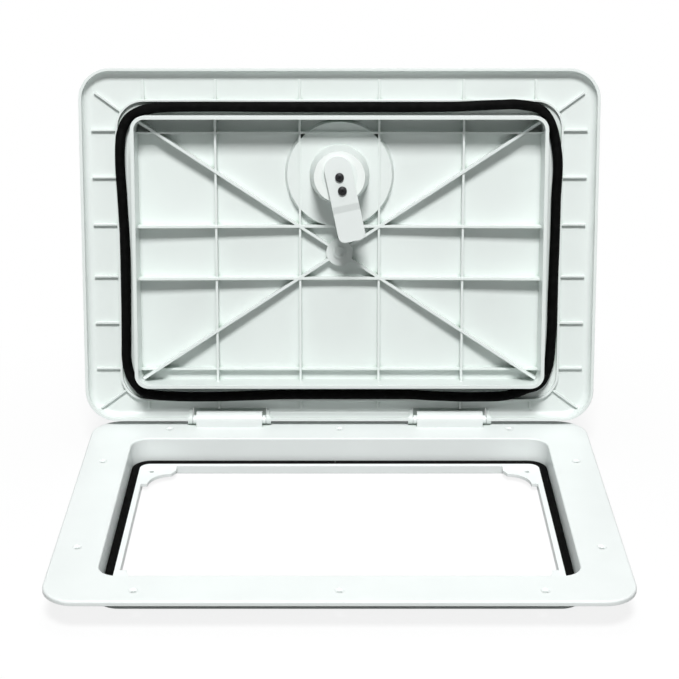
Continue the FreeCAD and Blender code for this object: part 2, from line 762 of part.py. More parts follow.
def main():
    """Build every piece and write it."""
    os.makedirs("parts", exist_ok=True)
    save("frame", make_frame())
    save("frame_gasket", make_frame_gasket())
    save("lid", opened(make_lid()))
    save("lid_cord_seal", opened(make_lid_cord()))
    save("hinge_pin_left", opened(make_hinge_pin(-hinge_centre_x)))
    save("hinge_pin_right", opened(make_hinge_pin(hinge_centre_x)))
    save("latch_handle", latched(make_handle()))
    save("shaft_o_rings", latched(make_shaft_rings()))
    save("wear_washer", latched(make_washer()))
    save("cam_arm", latched(make_cam_arm()))
    save("cam_screws", latched(Part.makeCompound([cam_screw(0.0), cam_screw(arm_screw_spacing)])))


main()
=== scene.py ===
# %% [markdown]
# This file dresses a deck access hatch: a flanged frame, a ribbed lid that stands open on
# two wide hinge knuckles, and a turning latch. The frame, lid and latch come in as finished
# solids and keep their shape. What is made here is their finish, the two black rubber
# seals, two of the lid's ribs, the screws, the light and the camera. Lengths are in metres.

# %% Load the solids
import bpy
import bmesh
import json
import math
from mathutils import Matrix, Vector, noise
from mathutils.geometry import interpolate_bezier


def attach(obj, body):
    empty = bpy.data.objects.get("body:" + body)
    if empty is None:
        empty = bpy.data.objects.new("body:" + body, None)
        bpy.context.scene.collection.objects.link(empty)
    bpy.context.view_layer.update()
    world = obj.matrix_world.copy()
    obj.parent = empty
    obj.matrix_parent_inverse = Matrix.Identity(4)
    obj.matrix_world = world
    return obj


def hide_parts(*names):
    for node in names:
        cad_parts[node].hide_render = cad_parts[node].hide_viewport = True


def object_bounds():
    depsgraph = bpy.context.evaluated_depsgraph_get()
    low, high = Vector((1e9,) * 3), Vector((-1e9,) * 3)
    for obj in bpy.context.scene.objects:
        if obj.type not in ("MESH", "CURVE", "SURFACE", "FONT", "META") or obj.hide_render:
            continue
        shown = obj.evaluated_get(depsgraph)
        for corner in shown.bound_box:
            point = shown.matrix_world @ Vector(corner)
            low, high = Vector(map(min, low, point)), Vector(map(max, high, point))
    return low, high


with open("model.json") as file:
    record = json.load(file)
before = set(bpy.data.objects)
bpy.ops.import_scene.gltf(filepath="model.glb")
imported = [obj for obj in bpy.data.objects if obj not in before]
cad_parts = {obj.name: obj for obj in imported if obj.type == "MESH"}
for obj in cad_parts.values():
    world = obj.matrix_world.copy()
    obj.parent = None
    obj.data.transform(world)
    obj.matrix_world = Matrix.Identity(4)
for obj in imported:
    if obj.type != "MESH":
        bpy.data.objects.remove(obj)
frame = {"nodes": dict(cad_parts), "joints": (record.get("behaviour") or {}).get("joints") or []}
solid_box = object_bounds()
print("solids:", ", ".join(sorted(frame["nodes"])))
print("box of the solids:", solid_box)

# %% [markdown]
# Two joints move this object. The lid turns about a line along X, and the latch turns about
# a line square to the lid's plate. Reading both from the solids means that nothing made
# here has to be fitted by eye: a point of the shut lid is carried to the open lid by one
# matrix, and a point of the latch, measured down its shaft, by another.

# %% Places that follow from the joints
MM = 0.001
joints = {joint["name"]: joint for joint in frame["joints"]}
hinge = Vector(joints["lid_hinge"]["pos_m"])
opening = math.radians(joints["lid_hinge"]["range_deg"][1])
latch_pivot = Vector(joints["latch_turn"]["pos_m"])
to_hinge, from_hinge = Matrix.Translation(hinge), Matrix.Translation(-hinge)
shut_to_open = to_hinge @ Matrix.Rotation(-opening, 4, "X") @ from_hinge
print("the lid stands open by %.0f degrees" % math.degrees(opening))

# %% [markdown]
# The camera stands in front of the hatch and a little above it, and looks down by about
# twenty degrees, so the lid shows its whole underside while the frame lies foreshortened.
# A long lens from more than a metre away keeps the lid's sides nearly parallel.

# %% Camera
CAMERA_PLACE = Vector((0.0, -1.2584, 0.6465))
CAMERA_PITCH = math.radians(21.565)
CAMERA_LENS, CAMERA_SENSOR = 89.667, 36.0

camera = bpy.data.objects.new("camera", bpy.data.cameras.new("camera"))
camera.data.lens = CAMERA_LENS
camera.data.sensor_width = CAMERA_SENSOR
camera.location = CAMERA_PLACE
camera.rotation_euler = (math.radians(90) - CAMERA_PITCH, 0.0, 0.0)
bpy.context.scene.collection.objects.link(camera)
bpy.context.scene.camera = camera
bpy.context.scene.view_settings.view_transform = "Standard"
print("camera %.2f m from the hinge line" % (camera.location - hinge).length)

# %% [markdown]
# White plastic looks like plastic only when its shadows read. The key lamp stands high in
# front and is small for its distance, so the box wall and the ribs throw shadows with
# narrow soft edges, and the length of a shadow tells how tall its rib is. A weaker lamp
# straight above lifts what faces up, such as the flange, and a broad faint one fills the
# open faces but not the pockets. The world gives only a touch of green.

# %% Lamps
AIM = Vector((0.0, 0.10, 0.12))


def soft_lamp(name, elevation, distance, side, power):
    """A square lamp that looks at the hatch from in front, raised by an angle."""
    lamp = bpy.data.objects.new(name, bpy.data.lights.new(name, "AREA"))
    lamp.data.shape = "SQUARE"
    lamp.data.size = side
    lamp.data.energy = power
    up = math.radians(elevation)
    away = Vector((0.0, -math.cos(up), math.sin(up)))
    lamp.location = AIM + away * distance
    lamp.rotation_euler = (-away).to_track_quat("-Z", "Y").to_euler()
    bpy.context.scene.collection.objects.link(lamp)
    print(name, "at", [round(value, 2) for value in lamp.location])


soft_lamp("key_lamp", elevation=56, distance=4.0, side=0.9, power=166)
soft_lamp("top_lamp", elevation=90, distance=1.6, side=1.0, power=6.4)
soft_lamp("fill_lamp", elevation=50, distance=1.8, side=1.8, power=1.6)

# %% [markdown]
# The photograph shows the hatch cut out on white paper. A white page is a colour, not a
# strong light, so the world is white only to rays that are looked along, and at a part of
# its strength to reflections. Every other ray meets a very faint, slightly green fill, so
# the white page adds no light to the object.

# %% World
WORLD_FILL = 0.02
WORLD_TINT = (0.80, 1.0, 0.88, 1.0)
PAGE_WHITE = (1.0, 1.0, 1.0, 1.0)
PAGE_IN_GLOSS = 0.45


def seen_ray(nodes, links):
    """A value of 1 for camera rays and a part of 1 for rays that a gloss sends on."""
    path = nodes.new("ShaderNodeLightPath")
    part = nodes.new("ShaderNodeMath")
    part.operation = "MULTIPLY"
    part.inputs[1].default_value = PAGE_IN_GLOSS
    links.new(path.outputs["Is Glossy Ray"], part.inputs[0])
    both = nodes.new("ShaderNodeMath")
    both.operation = "MAXIMUM"
    links.new(path.outputs["Is Camera Ray"], both.inputs[0])
    links.new(part.outputs[0], both.inputs[1])
    return both.outputs[0]


world = bpy.data.worlds.new("studio")
bpy.context.scene.world = world
world.use_nodes = True
nodes = world.node_tree.nodes
links = world.node_tree.links
nodes.clear()
fill = nodes.new("ShaderNodeBackground")
fill.inputs["Color"].default_value = WORLD_TINT
fill.inputs["Strength"].default_value = WORLD_FILL
page = nodes.new("ShaderNodeBackground")
page.inputs["Color"].default_value = PAGE_WHITE
page.inputs["Strength"].default_value = 1.0
world_mix = nodes.new("ShaderNodeMixShader")
world_out = nodes.new("ShaderNodeOutputWorld")
links.new(seen_ray(nodes, links), world_mix.inputs[0])
links.new(fill.outputs[0], world_mix.inputs[1])
links.new(page.outputs[0], world_mix.inputs[2])
links.new(world_mix.outputs[0], world_out.inputs["Surface"])
print("world fill %.2f, page in gloss %.2f" % (WORLD_FILL, PAGE_IN_GLOSS))

# %% [markdown]
# The floor works in the same way. For bounced light it is a dull grey, so it doesn't fill
# the lid's shadows from below. To the camera it is white paper with a share of plain paint
# mixed in, and the paint takes the object's soft shadow. Farther out the share fades away,
# so the paper has no edge.

# %% Floor
FLOOR_HALF = 4.0
FLOOR_GAP = 0.2 * MM
FLOOR_BOUNCE, FLOOR_PAINT = 0.4, 0.9
FLOOR_SHARE_LIT = 0.14
SHADOW_NEAR, SHADOW_FAR = 0.26, 0.55

floor_mesh = bpy.data.meshes.new("floor")
floor_level = solid_box[0][2] - FLOOR_GAP
signs = ((-1, -1), (1, -1), (1, 1), (-1, 1))
corners = [(x * FLOOR_HALF, y * FLOOR_HALF, floor_level) for x, y in signs]
floor_mesh.from_pydata(corners, [], [(0, 1, 2, 3)])
floor = bpy.data.objects.new("floor", floor_mesh)
bpy.context.scene.collection.objects.link(floor)

paper = bpy.data.materials.new("paper")
paper.use_nodes = True
nodes = paper.node_tree.nodes
links = paper.node_tree.links
nodes.clear()
lit = nodes.new("ShaderNodeBsdfDiffuse")
paint = nodes.new("ShaderNodeMapRange")
paint.inputs["To Min"].default_value = FLOOR_BOUNCE
paint.inputs["To Max"].default_value = FLOOR_PAINT
links.new(seen_ray(nodes, links), paint.inputs["Value"])
links.new(paint.outputs["Result"], lit.inputs["Color"])
white = nodes.new("ShaderNodeEmission")
white.inputs["Strength"].default_value = 1.0
spot = nodes.new("ShaderNodeTexCoord")
reach = nodes.new("ShaderNodeVectorMath")
reach.operation = "LENGTH"
links.new(spot.outputs["Object"], reach.inputs[0])
fade = nodes.new("ShaderNodeMapRange")
fade.interpolation_type = "SMOOTHSTEP"
fade.inputs["From Min"].default_value = SHADOW_NEAR
fade.inputs["From Max"].default_value = SHADOW_FAR
fade.inputs["To Min"].default_value = 1.0 - FLOOR_SHARE_LIT
fade.inputs["To Max"].default_value = 1.0
links.new(reach.outputs["Value"], fade.inputs["Value"])
share = nodes.new("ShaderNodeMath")
share.operation = "MULTIPLY"
links.new(fade.outputs["Result"], share.inputs[1])
paper_mix = nodes.new("ShaderNodeMixShader")
paper_out = nodes.new("ShaderNodeOutputMaterial")
links.new(seen_ray(nodes, links), share.inputs[0])
links.new(share.outputs[0], paper_mix.inputs[0])
links.new(lit.outputs[0], paper_mix.inputs[1])
links.new(white.outputs[0], paper_mix.inputs[2])
links.new(paper_mix.outputs[0], paper_out.inputs["Surface"])
floor_mesh.materials.append(paper)
print("floor at %.1f mm" % (floor_level / MM))

# %% [markdown]
# Every finish is a small tree of nodes, and the same few steps come back in each of them:
# a fresh material, a noise that sticks to the piece, a value carried from one range to
# another, a colour between two, a measure of how closed in a point is, and a fine bump.
# Each step is a helper, so that a finish further on reads as a list of what it is made of.

# %% Helpers for finishes
CLOSENESS_SAMPLES = 8


def shader_tree(name):
    """A fresh material with its node tree, links and plain surface shader."""
    material = bpy.data.materials.new(name)
    material.use_nodes = True
    tree = material.node_tree
    return material, tree.nodes, tree.links, tree.nodes["Principled BSDF"]


def noise_at(nodes, links, scale, detail):
    """A noise that sticks to the piece."""
    place = nodes.new("ShaderNodeTexCoord")
    texture = nodes.new("ShaderNodeTexNoise")
    texture.inputs["Scale"].default_value = scale
    texture.inputs["Detail"].default_value = detail
    links.new(place.outputs["Object"], texture.inputs["Vector"])
    return texture.outputs["Fac"]


def ranged(nodes, links, value, low, high, from_low=0.0, from_high=1.0):
    """A value carried from one range to another."""
    node = nodes.new("ShaderNodeMapRange")
    node.inputs["From Min"].default_value = from_low
    node.inputs["From Max"].default_value = from_high
    node.inputs["To Min"].default_value = low
    node.inputs["To Max"].default_value = high
    links.new(value, node.inputs["Value"])
    return node.outputs["Result"]


def mixed(nodes, links, factor, first, second):
    """A colour between two, where either may be a plain colour or a socket."""
    node = nodes.new("ShaderNodeMix")
    node.data_type = "RGBA"
    links.new(factor, node.inputs["Factor"])
    for socket, source in ((node.inputs["A"], first), (node.inputs["B"], second)):
        if isinstance(source, bpy.types.NodeSocket):
            links.new(source, socket)
        else:
            socket.default_value = (*source, 1.0)
    return node.outputs["Result"]


def closeness(nodes, links, distance, strength, tight, free):
    """How strongly nearby surfaces close a point in: 0 when open, up to a strength in a gap."""
    shade = nodes.new("ShaderNodeAmbientOcclusion")
    shade.samples = CLOSENESS_SAMPLES
    shade.inputs["Distance"].default_value = distance
    return ranged(nodes, links, shade.outputs["AO"], strength, 0.0, tight, free)


def bumped(nodes, links, height, strength, depth):
    """A bump node that raises a surface by a height pattern."""
    bump = nodes.new("ShaderNodeBump")
    bump.inputs["Strength"].default_value = strength
    bump.inputs["Distance"].default_value = depth
    links.new(height, bump.inputs["Height"])
    return bump


print("helpers for finishes are ready")

# %% [markdown]
# The mouldings are one white plastic with a faint cool tint. Three things keep it from
# looking like a flat colour. Moulded edges are never sharp, so the light is bent round
# them over about half a millimetre. The polished tool leaves a very fine grain in the gloss.
# And the colour changes over the part: it drifts a little at random, the edges get a painted
# highlight, closed-in corners a greenish painted shade, and narrow gaps near-black painted shade.

# %% A maker for moulded plastic
BEVEL_SAMPLES = 6
# The tint and reach below paint shade: closed-in corners are darkened towards a green grey.
PAINTED_SHADE_TINT = (0.50, 0.60, 0.52)
PAINTED_SHADE_REACH, GAP_SHADE_REACH = 5 * MM, 3 * MM
# This near-black colour paints shade into gaps too narrow for light.
PAINTED_GAP_SHADE = (0.02, 0.024, 0.021)
# The gain and its limit paint a highlight along the soft edges.
EDGE_HIGHLIGHT_GAIN, EDGE_HIGHLIGHT_LIMIT = 1.18, 0.96
COOL_SHARE = 0.965


def moulded_plastic(name, colour, roughness, grain_scale, grain_depth, edge_radius):
    """White moulded plastic with soft edges, fine grain, a painted edge highlight and painted
    shade.
    """
    material, nodes, links, shader = shader_tree(name)
    soft_edge = nodes.new("ShaderNodeBevel")
    soft_edge.samples = BEVEL_SAMPLES
    soft_edge.inputs["Radius"].default_value = edge_radius
    geometry = nodes.new("ShaderNodeNewGeometry")
    turn = nodes.new("ShaderNodeVectorMath")
    turn.operation = "DOT_PRODUCT"
    links.new(soft_edge.outputs["Normal"], turn.inputs[0])
    links.new(geometry.outputs["Normal"], turn.inputs[1])
    edge = ranged(nodes, links, turn.outputs["Value"], 1.0, 0.0, 0.80, 0.99)
    drift = ranged(nodes, links, noise_at(nodes, links, 11.0, 3.0), 0.0, 1.0, 0.35, 0.65)
    cool = tuple(value * COOL_SHARE for value in colour)
    # Painted highlight: a brighter copy of the colour, mixed in along the soft edges.
    painted_edge_highlight = tuple(min(value * EDGE_HIGHLIGHT_GAIN, EDGE_HIGHLIGHT_LIMIT) for value in colour)
    body = mixed(nodes, links, drift, cool, colour)
    body = mixed(nodes, links, edge, body, painted_edge_highlight)
    # Painted shade: closed-in corners are darkened to a greenish grey.
    painted_corner_shade = tuple(value * tint for value, tint in zip(colour, PAINTED_SHADE_TINT))
    corner = closeness(nodes, links, PAINTED_SHADE_REACH, 0.85, 0.10, 0.58)
    body = mixed(nodes, links, corner, body, painted_corner_shade)
    # Painted shade: points in narrow gaps are darkened nearly to black.
    gap = closeness(nodes, links, GAP_SHADE_REACH, 1.0, 0.06, 0.26)
    body = mixed(nodes, links, gap, body, PAINTED_GAP_SHADE)
    links.new(body, shader.inputs["Base Color"])
    grain = noise_at(nodes, links, grain_scale, 2.0)
    gloss = ranged(nodes, links, grain, roughness - 0.05, roughness + 0.06)
    links.new(gloss, shader.inputs["Roughness"])
    bump = bumped(nodes, links, grain, 0.5, grain_depth)
    links.new(soft_edge.outputs["Normal"], bump.inputs["Normal"])
    links.new(bump.outputs["Normal"], shader.inputs["Normal"])
    return material


def finish_node(name, material):
    """Give one solid its finish."""
    node = frame["nodes"][name]
    node.data.materials.clear()
    node.data.materials.append(material)
    print(name, "is finished in", material.name)


# %% [markdown]
# The lid and the frame come from polished tools and are a satin white. The cam arm is a
# tougher, fibre filled plastic, so it is a shade greyer, with a coarser grain and rounder
# edges. The washer is natural, slightly waxy white. The handle shares the lid's plastic.

# %% Plastic finishes
LID_WHITE = (0.755, 0.805, 0.785)
FRAME_WHITE = (0.835, 0.875, 0.865)
ARM_WHITE = (0.745, 0.79, 0.775)
WASHER_WHITE = (0.80, 0.84, 0.82)

lid_plastic = moulded_plastic(
    "lid_satin_white", LID_WHITE, roughness=0.34,
    grain_scale=1400.0, grain_depth=0.03 * MM, edge_radius=0.5 * MM)
frame_plastic = moulded_plastic(
    "frame_satin_white", FRAME_WHITE, roughness=0.32,
    grain_scale=1400.0, grain_depth=0.03 * MM, edge_radius=0.5 * MM)
arm_plastic = moulded_plastic(
    "arm_filled_white", ARM_WHITE, roughness=0.50,
    grain_scale=2200.0, grain_depth=0.10 * MM, edge_radius=1.2 * MM)
washer_plastic = moulded_plastic(
    "washer_waxy_white", WASHER_WHITE, roughness=0.42,
    grain_scale=900.0, grain_depth=0.02 * MM, edge_radius=0.2 * MM)
finish_node("lid", lid_plastic)
finish_node("frame", frame_plastic)
finish_node("latch_handle", lid_plastic)
finish_node("cam_arm", arm_plastic)
finish_node("wear_washer", washer_plastic)

# %% [markdown]
# The seals are black sponge rubber with a closed skin. Real black rubber is never quite
# black: it carries a grey bloom and picks up dust. A rough surface with a soft, uneven
# sheen gives that without turning it grey. The pins are drawn steel and the screws are
# blackened, and both show fine lines along their length, which a stretched noise draws.

# %% Rubber, steel and black screw finishes
RUBBER_DARK, RUBBER_BLOOM = (0.0015, 0.0015, 0.0015), (0.0045, 0.0045, 0.0045)
RUBBER_SHEEN = 0.05
STEEL_GREY, OXIDE_BLACK = (0.58, 0.59, 0.60), (0.014, 0.014, 0.016)
LINE_SCALE = 4000.0


def skin_rubber(name):
    """Black sponge rubber with a dull, slightly pitted skin."""
    material, nodes, links, shader = shader_tree(name)
    bloom = ranged(nodes, links, noise_at(nodes, links, 160.0, 4.0), 0.0, 1.0, 0.45, 0.75)
    body = mixed(nodes, links, bloom, RUBBER_DARK, RUBBER_BLOOM)
    links.new(body, shader.inputs["Base Color"])
    pits = noise_at(nodes, links, 2600.0, 2.0)
    links.new(ranged(nodes, links, pits, 0.62, 0.85), shader.inputs["Roughness"])
    bump = bumped(nodes, links, pits, 0.6, 0.06 * MM)
    links.new(bump.outputs["Normal"], shader.inputs["Normal"])
    shader.inputs["Specular IOR Level"].default_value = RUBBER_SHEEN
    return material


def metal(name, colour, roughness, metallic, streaks):
    """Turned or drawn metal with fine lines along X."""
    material, nodes, links, shader = shader_tree(name)
    place = nodes.new("ShaderNodeTexCoord")
    stretch = nodes.new("ShaderNodeMapping")
    stretch.inputs["Scale"].default_value = (streaks, LINE_SCALE, LINE_SCALE)
    lines = nodes.new("ShaderNodeTexNoise")
    lines.inputs["Scale"].default_value = 1.0
    links.new(place.outputs["Object"], stretch.inputs["Vector"])
    links.new(stretch.outputs["Vector"], lines.inputs["Vector"])
    dark = tuple(value * 0.8 for value in colour)
    lined = lines.outputs["Fac"]
    links.new(mixed(nodes, links, lined, dark, colour), shader.inputs["Base Color"])
    gloss = ranged(nodes, links, lined, roughness, roughness + 0.12)
    links.new(gloss, shader.inputs["Roughness"])
    shader.inputs["Metallic"].default_value = metallic
    return material


rubber = skin_rubber("seal_black_rubber")
pin_steel = metal("pin_drawn_steel", STEEL_GREY, roughness=0.28, metallic=1.0, streaks=60.0)
screw_black = metal("screw_black_oxide", OXIDE_BLACK, roughness=0.42, metallic=0.4, streaks=900.0)
finish_node("hinge_pin_left", pin_steel)
finish_node("hinge_pin_right", pin_steel)
finish_node("shaft_o_rings", rubber)
finish_node("cam_screws", screw_black)
finish_node("lid_cord_seal", rubber)
finish_node("frame_gasket", rubber)

# %% [markdown]
# The lid's seal is a round sponge cord that someone pressed by hand into the channel
# between the box wall and a low ridge. It isn't a neat rounded rectangle: it leans on the
# wall along one side, stands off it along the next, and cuts its corners. Listed points
# joined by a smooth curve give that, and the same sweep then serves for the flat gasket of
# the frame. The work is done on the shut lid, where the plate is level.

# %% Helpers for a strip that follows a line
HANDLE_SHARE = 0.36


def smooth_loop(points, steps=24):
    """A closed curve through listed points."""
    count = len(points)
    line = []
    for index in range(count):
        before, here, there, after = (points[(index + shift) % count] for shift in (-1, 0, 1, 2))
        reach = (there - here).length * HANDLE_SHARE
        leave = here + (there - before).normalized() * reach
        arrive = there - (after - here).normalized() * reach
        line += interpolate_bezier(here, leave, arrive, there, steps)[:-1]
    return line + [line[0]]


def evenly(line, step):
    """The same line in equal steps."""
    reached = [0.0]
    for first, second in zip(line, line[1:]):
        reached.append(reached[-1] + (second - first).length)
    count = round(reached[-1] / step)
    places = []
    run = 0
    for index in range(count + 1):
        wanted = reached[-1] * index / count
        while run < len(line) - 2 and reached[run + 1] < wanted:
            run += 1
        share = (wanted - reached[run]) / (reached[run + 1] - reached[run])
        places.append(line[run].lerp(line[run + 1], share))
    return places


def swept(name, line, sections, closed):
    """A mesh that carries a section of (side, up) pairs along a line over a level plate."""
    mesh = bpy.data.meshes.new(name)
    build = bmesh.new()
    rings = []
    count = len(line)
    for index, (place, section) in enumerate(zip(line, sections)):
        if closed:
            along = line[(index + 1) % count] - line[index - 1]
        else:
            along = line[min(index + 1, count - 1)] - line[max(index - 1, 0)]
        side = Vector((along.y, -along.x, 0.0)).normalized()
        spots = [place + side * across + Vector((0, 0, up)) for across, up in section]
        rings.append([build.verts.new(spot) for spot in spots])
    corners = len(rings[0])
    for index in range(count if closed else count - 1):
        first, second = rings[index], rings[(index + 1) % count]
        for corner in range(corners):
            beside = (corner + 1) % corners
            build.faces.new((first[corner], first[beside], second[beside], second[corner]))
    if not closed:
        build.faces.new(rings[0])
        build.faces.new(rings[-1])
    bmesh.ops.recalc_face_normals(build, faces=build.faces)
    for face in build.faces:
        face.smooth = True
    build.to_mesh(mesh)
    build.free()
    piece = bpy.data.objects.new(name, mesh)
    bpy.context.scene.collection.objects.link(piece)
    return piece


def outside_of(place, half_x, half_y, radius):
    """How far a point lies outside a rounded rectangle about the origin, and its way out."""
    over = Vector((abs(place.x) - half_x + radius, abs(place.y) - half_y + radius, 0.0))
    if over.x > 0 and over.y > 0:
        distance = over.length - radius
        way = over.normalized()
    elif over.x > over.y:
        distance = over.x - radius
        way = Vector((1.0, 0.0, 0.0))
    else:
        distance = over.y - radius
        way = Vector((0.0, 1.0, 0.0))
    way = Vector((math.copysign(way.x, place.x), math.copysign(way.y, place.y), 0.0))
    return distance, way


print("helpers for a strip are ready")

# %% [markdown]
# The route gives the cord's middle line on the lid's plate. It is smoothed and cut into
# equal steps. Then each point that would lie inside the box wall is pushed off it, and
# where the cord comes onto the low ridge it is lifted, since it is laid over the ridge and
# not through it. Some averaging wears the kinks down. The cord swells and thins by about
# one part in a hundred, as sponge rubber does when it is drawn off a roll.

# %% The lid's cord seal
LID_PLATE_LEVEL = 13.2
BOX_MIDDLE_Y = 1.0
BOX_HALF_X, BOX_HALF_Y, BOX_CORNER = 183.6, 121.5, 12.0
RIDGE_HALF_X, RIDGE_HALF_Y, RIDGE_CORNER = 197.95, 134.85, 23.0
RIDGE_SHIFT, RIDGE_HEIGHT = 1.7, 3.6
CORD_RADIUS = 4.45
CORD_WALL_GAP = 0.1
CORD_SIDES = 20
CORD_STEP = 2.5
CORD_PASSES = 4
CORD_SWELL, CORD_SWELL_SCALE = 0.012, 0.05
CORD_ROUTE = [
    (-159.8, 128.1), (-35.4, 128.3), (89.0, 128.5), (142.3, 130.6), (160.1, 130.7),
    (182.5, 123.5), (193.9, 90.7), (194.0, 46.1), (193.7, 1.0), (192.9, -44.5),
    (192.4, -81.2), (188.5, -110.8), (174.1, -123.9), (157.8, -131.8), (123.1, -133.7),
    (92.0, -133.1), (55.4, -131.8), (-36.0, -131.9), (-173.1, -132.2), (-186.7, -121.7),
    (-193.2, -105.0), (-193.7, -81.9), (-192.9, -8.7), (-194.4, 45.5), (-195.7, 90.1),
    (-192.2, 112.3), (-182.2, 122.9),
]


def pressed_in(line):
    """Push the cord's line off the box wall, and lift it where the low ridge squeezes it."""
    places = []
    for place in line:
        place = place.copy()
        out, way = outside_of(place, BOX_HALF_X, BOX_HALF_Y, BOX_CORNER)
        place += way * max(CORD_RADIUS + CORD_WALL_GAP - out, 0.0)
        shifted = place + Vector((0, RIDGE_SHIFT, 0))
        beyond, _ = outside_of(shifted, RIDGE_HALF_X, RIDGE_HALF_Y, RIDGE_CORNER)
        beside = min(max(-beyond, 0.0), CORD_RADIUS)
        place.z = max(CORD_RADIUS, RIDGE_HEIGHT + math.sqrt(CORD_RADIUS**2 - beside**2))
        places.append(place)
    return places


def eased(line, passes):
    """A closed line with its small kinks worn down."""
    for _ in range(passes):
        before, after = line[-1:] + line[:-1], line[1:] + line[:1]
        line = [(left + here * 2 + right) / 4 for left, here, right in zip(before, line, after)]
    return line


route = smooth_loop([Vector((x, down, 0.0)) for x, down in CORD_ROUTE])
cord_line = evenly(route, CORD_STEP)[:-1]
cord_line = pressed_in(eased(pressed_in(cord_line), CORD_PASSES))
turns = [math.tau * side / CORD_SIDES for side in range(CORD_SIDES)]
cord_sections = []
for place in cord_line:
    swell = CORD_RADIUS * (1.0 + CORD_SWELL * noise.noise(place * CORD_SWELL_SCALE))
    cord_sections.append([(swell * math.cos(turn), swell * math.sin(turn)) for turn in turns])
cord_seal = swept("lid_sponge_cord", cord_line, cord_sections, closed=True)
to_plate = Matrix.Translation((0.0, BOX_MIDDLE_Y, LID_PLATE_LEVEL))
lid_plane = Matrix.Scale(MM, 4) @ to_plate @ Matrix.Diagonal((1, -1, -1, 1))
cord_seal.data.transform(shut_to_open @ lid_plane)
cord_seal.data.materials.append(rubber)
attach(cord_seal, "lid_body")
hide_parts("lid_cord_seal")
print("cord seal: %d steps, %.0f mm round" % (len(cord_line), len(cord_line) * CORD_STEP))

# %% [markdown]
# Two of the low ribs inside the box wall are made here: the upright one left of the middle
# and the one along the hinge side. The upright one's crest lies on a shallow cone about
# the centre boss, like those of the ribs in the solid, and where it crosses the round
# latch dish its foot follows the dish's lower face. The one on the hinge side is level,
# and low, since its shadow is short. Each is one flat outline, drawn from the side and
# given the rib's thickness.

# %% Two low ribs of the lid
RIB_MIDDLE_Y = 2.0
RIB_HEIGHT, RIB_SLOPE, HINGE_RIB_HEIGHT = 6.5, 0.036, 6.6
RIB_THICKNESS = 2.0
RIB_BURY = 0.4
RIB_COLUMN_X, RIB_ROW_Y = -35.4, 109.0
RIB_END_X, RIB_END_Y = 182.0, 119.9
DISH_MIDDLE_Y, DISH_RADIUS, DISH_DEPTH = -68.0, 48.0, 8.0
RIB_STEPS = 120


def rib_outline(place_at, half_run, height, slope):
    """Crest and foot points along a rib, where place_at gives the plan place for a reach."""
    crest = []
    foot = []
    for step in range(RIB_STEPS + 1):
        reach = half_run * (2 * step / RIB_STEPS - 1)
        x, y = place_at(reach)
        over_dish = math.hypot(x, y - DISH_MIDDLE_Y) < DISH_RADIUS
        stand = height + slope * math.hypot(x, y - RIB_MIDDLE_Y)
        crest.append((x, y, LID_PLATE_LEVEL - stand))
        foot.append((x, y, LID_PLATE_LEVEL - (DISH_DEPTH if over_dish else 0.0) + RIB_BURY))
    return crest, foot


def thick_rib(name, crest, foot, across):
    """A closed strip between the crest and the foot line, with half the thickness each way."""
    build = bmesh.new()
    half = Vector(across) * (RIB_THICKNESS / 2)
    rails = []
    for line, way in ((crest, 1), (foot, 1), (foot, -1), (crest, -1)):
        rails.append([build.verts.new(Vector(point) + half * way) for point in line])
    for index in range(len(crest) - 1):
        for rail, beside in zip(rails, rails[1:] + rails[:1]):
            build.faces.new((rail[index], beside[index], beside[index + 1], rail[index + 1]))
    for index in (0, -1):
        build.faces.new([rail[index] for rail in rails])
    bmesh.ops.recalc_face_normals(build, faces=build.faces)
    mesh = bpy.data.meshes.new(name)
    build.to_mesh(mesh)
    build.free()
    mesh.transform(shut_to_open @ Matrix.Scale(MM, 4))
    rib = bpy.data.objects.new(name, mesh)
    bpy.context.scene.collection.objects.link(rib)
    rib.data.materials.append(lid_plastic)
    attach(rib, "lid_body")
    print(name, "has", len(mesh.polygons), "faces")


def on_column(reach):
    """A place on the upright rib."""
    return RIB_COLUMN_X, BOX_MIDDLE_Y + reach


def on_row(reach):
    """A place on the rib along the hinge side."""
    return reach, RIB_ROW_Y


crest, foot = rib_outline(on_column, RIB_END_Y, RIB_HEIGHT, RIB_SLOPE)
thick_rib("lid_low_rib_upright", crest, foot, (1, 0, 0))
crest, foot = rib_outline(on_row, RIB_END_X, HINGE_RIB_HEIGHT, 0.0)
thick_rib("lid_low_rib_hinge_side", crest, foot, (0, 1, 0))

# %% [markdown]
# The frame's seal is a flat strip of the same rubber, cut to length and glued into a
# shallow groove on the inner ledge. Its two ends meet in the middle of the hinge side with
# half a millimetre between them. Its top edges are a little rounded, and because it was
# laid by hand its width wanders by a few tenths.

# %% The frame's gasket
GASKET_WIDTH, GASKET_THICKNESS = 7.0, 3.0
GASKET_BOTTOM = -20.8
GASKET_HALF_X, GASKET_HALF_Y, GASKET_CORNER = 186.0, 123.9, 16.0
GASKET_MIDDLE_Y = 1.0
GASKET_JOINT_X, GASKET_JOINT_GAP = -4.0, 0.5
GASKET_ROUND = 0.6
GASKET_WANDER, GASKET_WANDER_SCALE = 0.25, 0.03
GASKET_STEP, GASKET_CORNER_STEPS = 2.5, 12


def round_rectangle(half_x, half_y, radius, start_x, gap, steps):
    """An open rounded rectangle that starts and ends beside a gap in its +Y side."""
    line = [Vector((start_x - gap / 2, half_y, 0.0))]
    for quarter, (sign_x, sign_y) in enumerate(((-1, 1), (-1, -1), (1, -1), (1, 1))):
        for step in range(steps + 1):
            angle = math.radians(90 * (1 + quarter + step / steps))
            x = sign_x * (half_x - radius) + radius * math.cos(angle)
            line.append(Vector((x, sign_y * (half_y - radius) + radius * math.sin(angle), 0.0)))
    return line + [Vector((start_x + gap / 2, half_y, 0.0))]


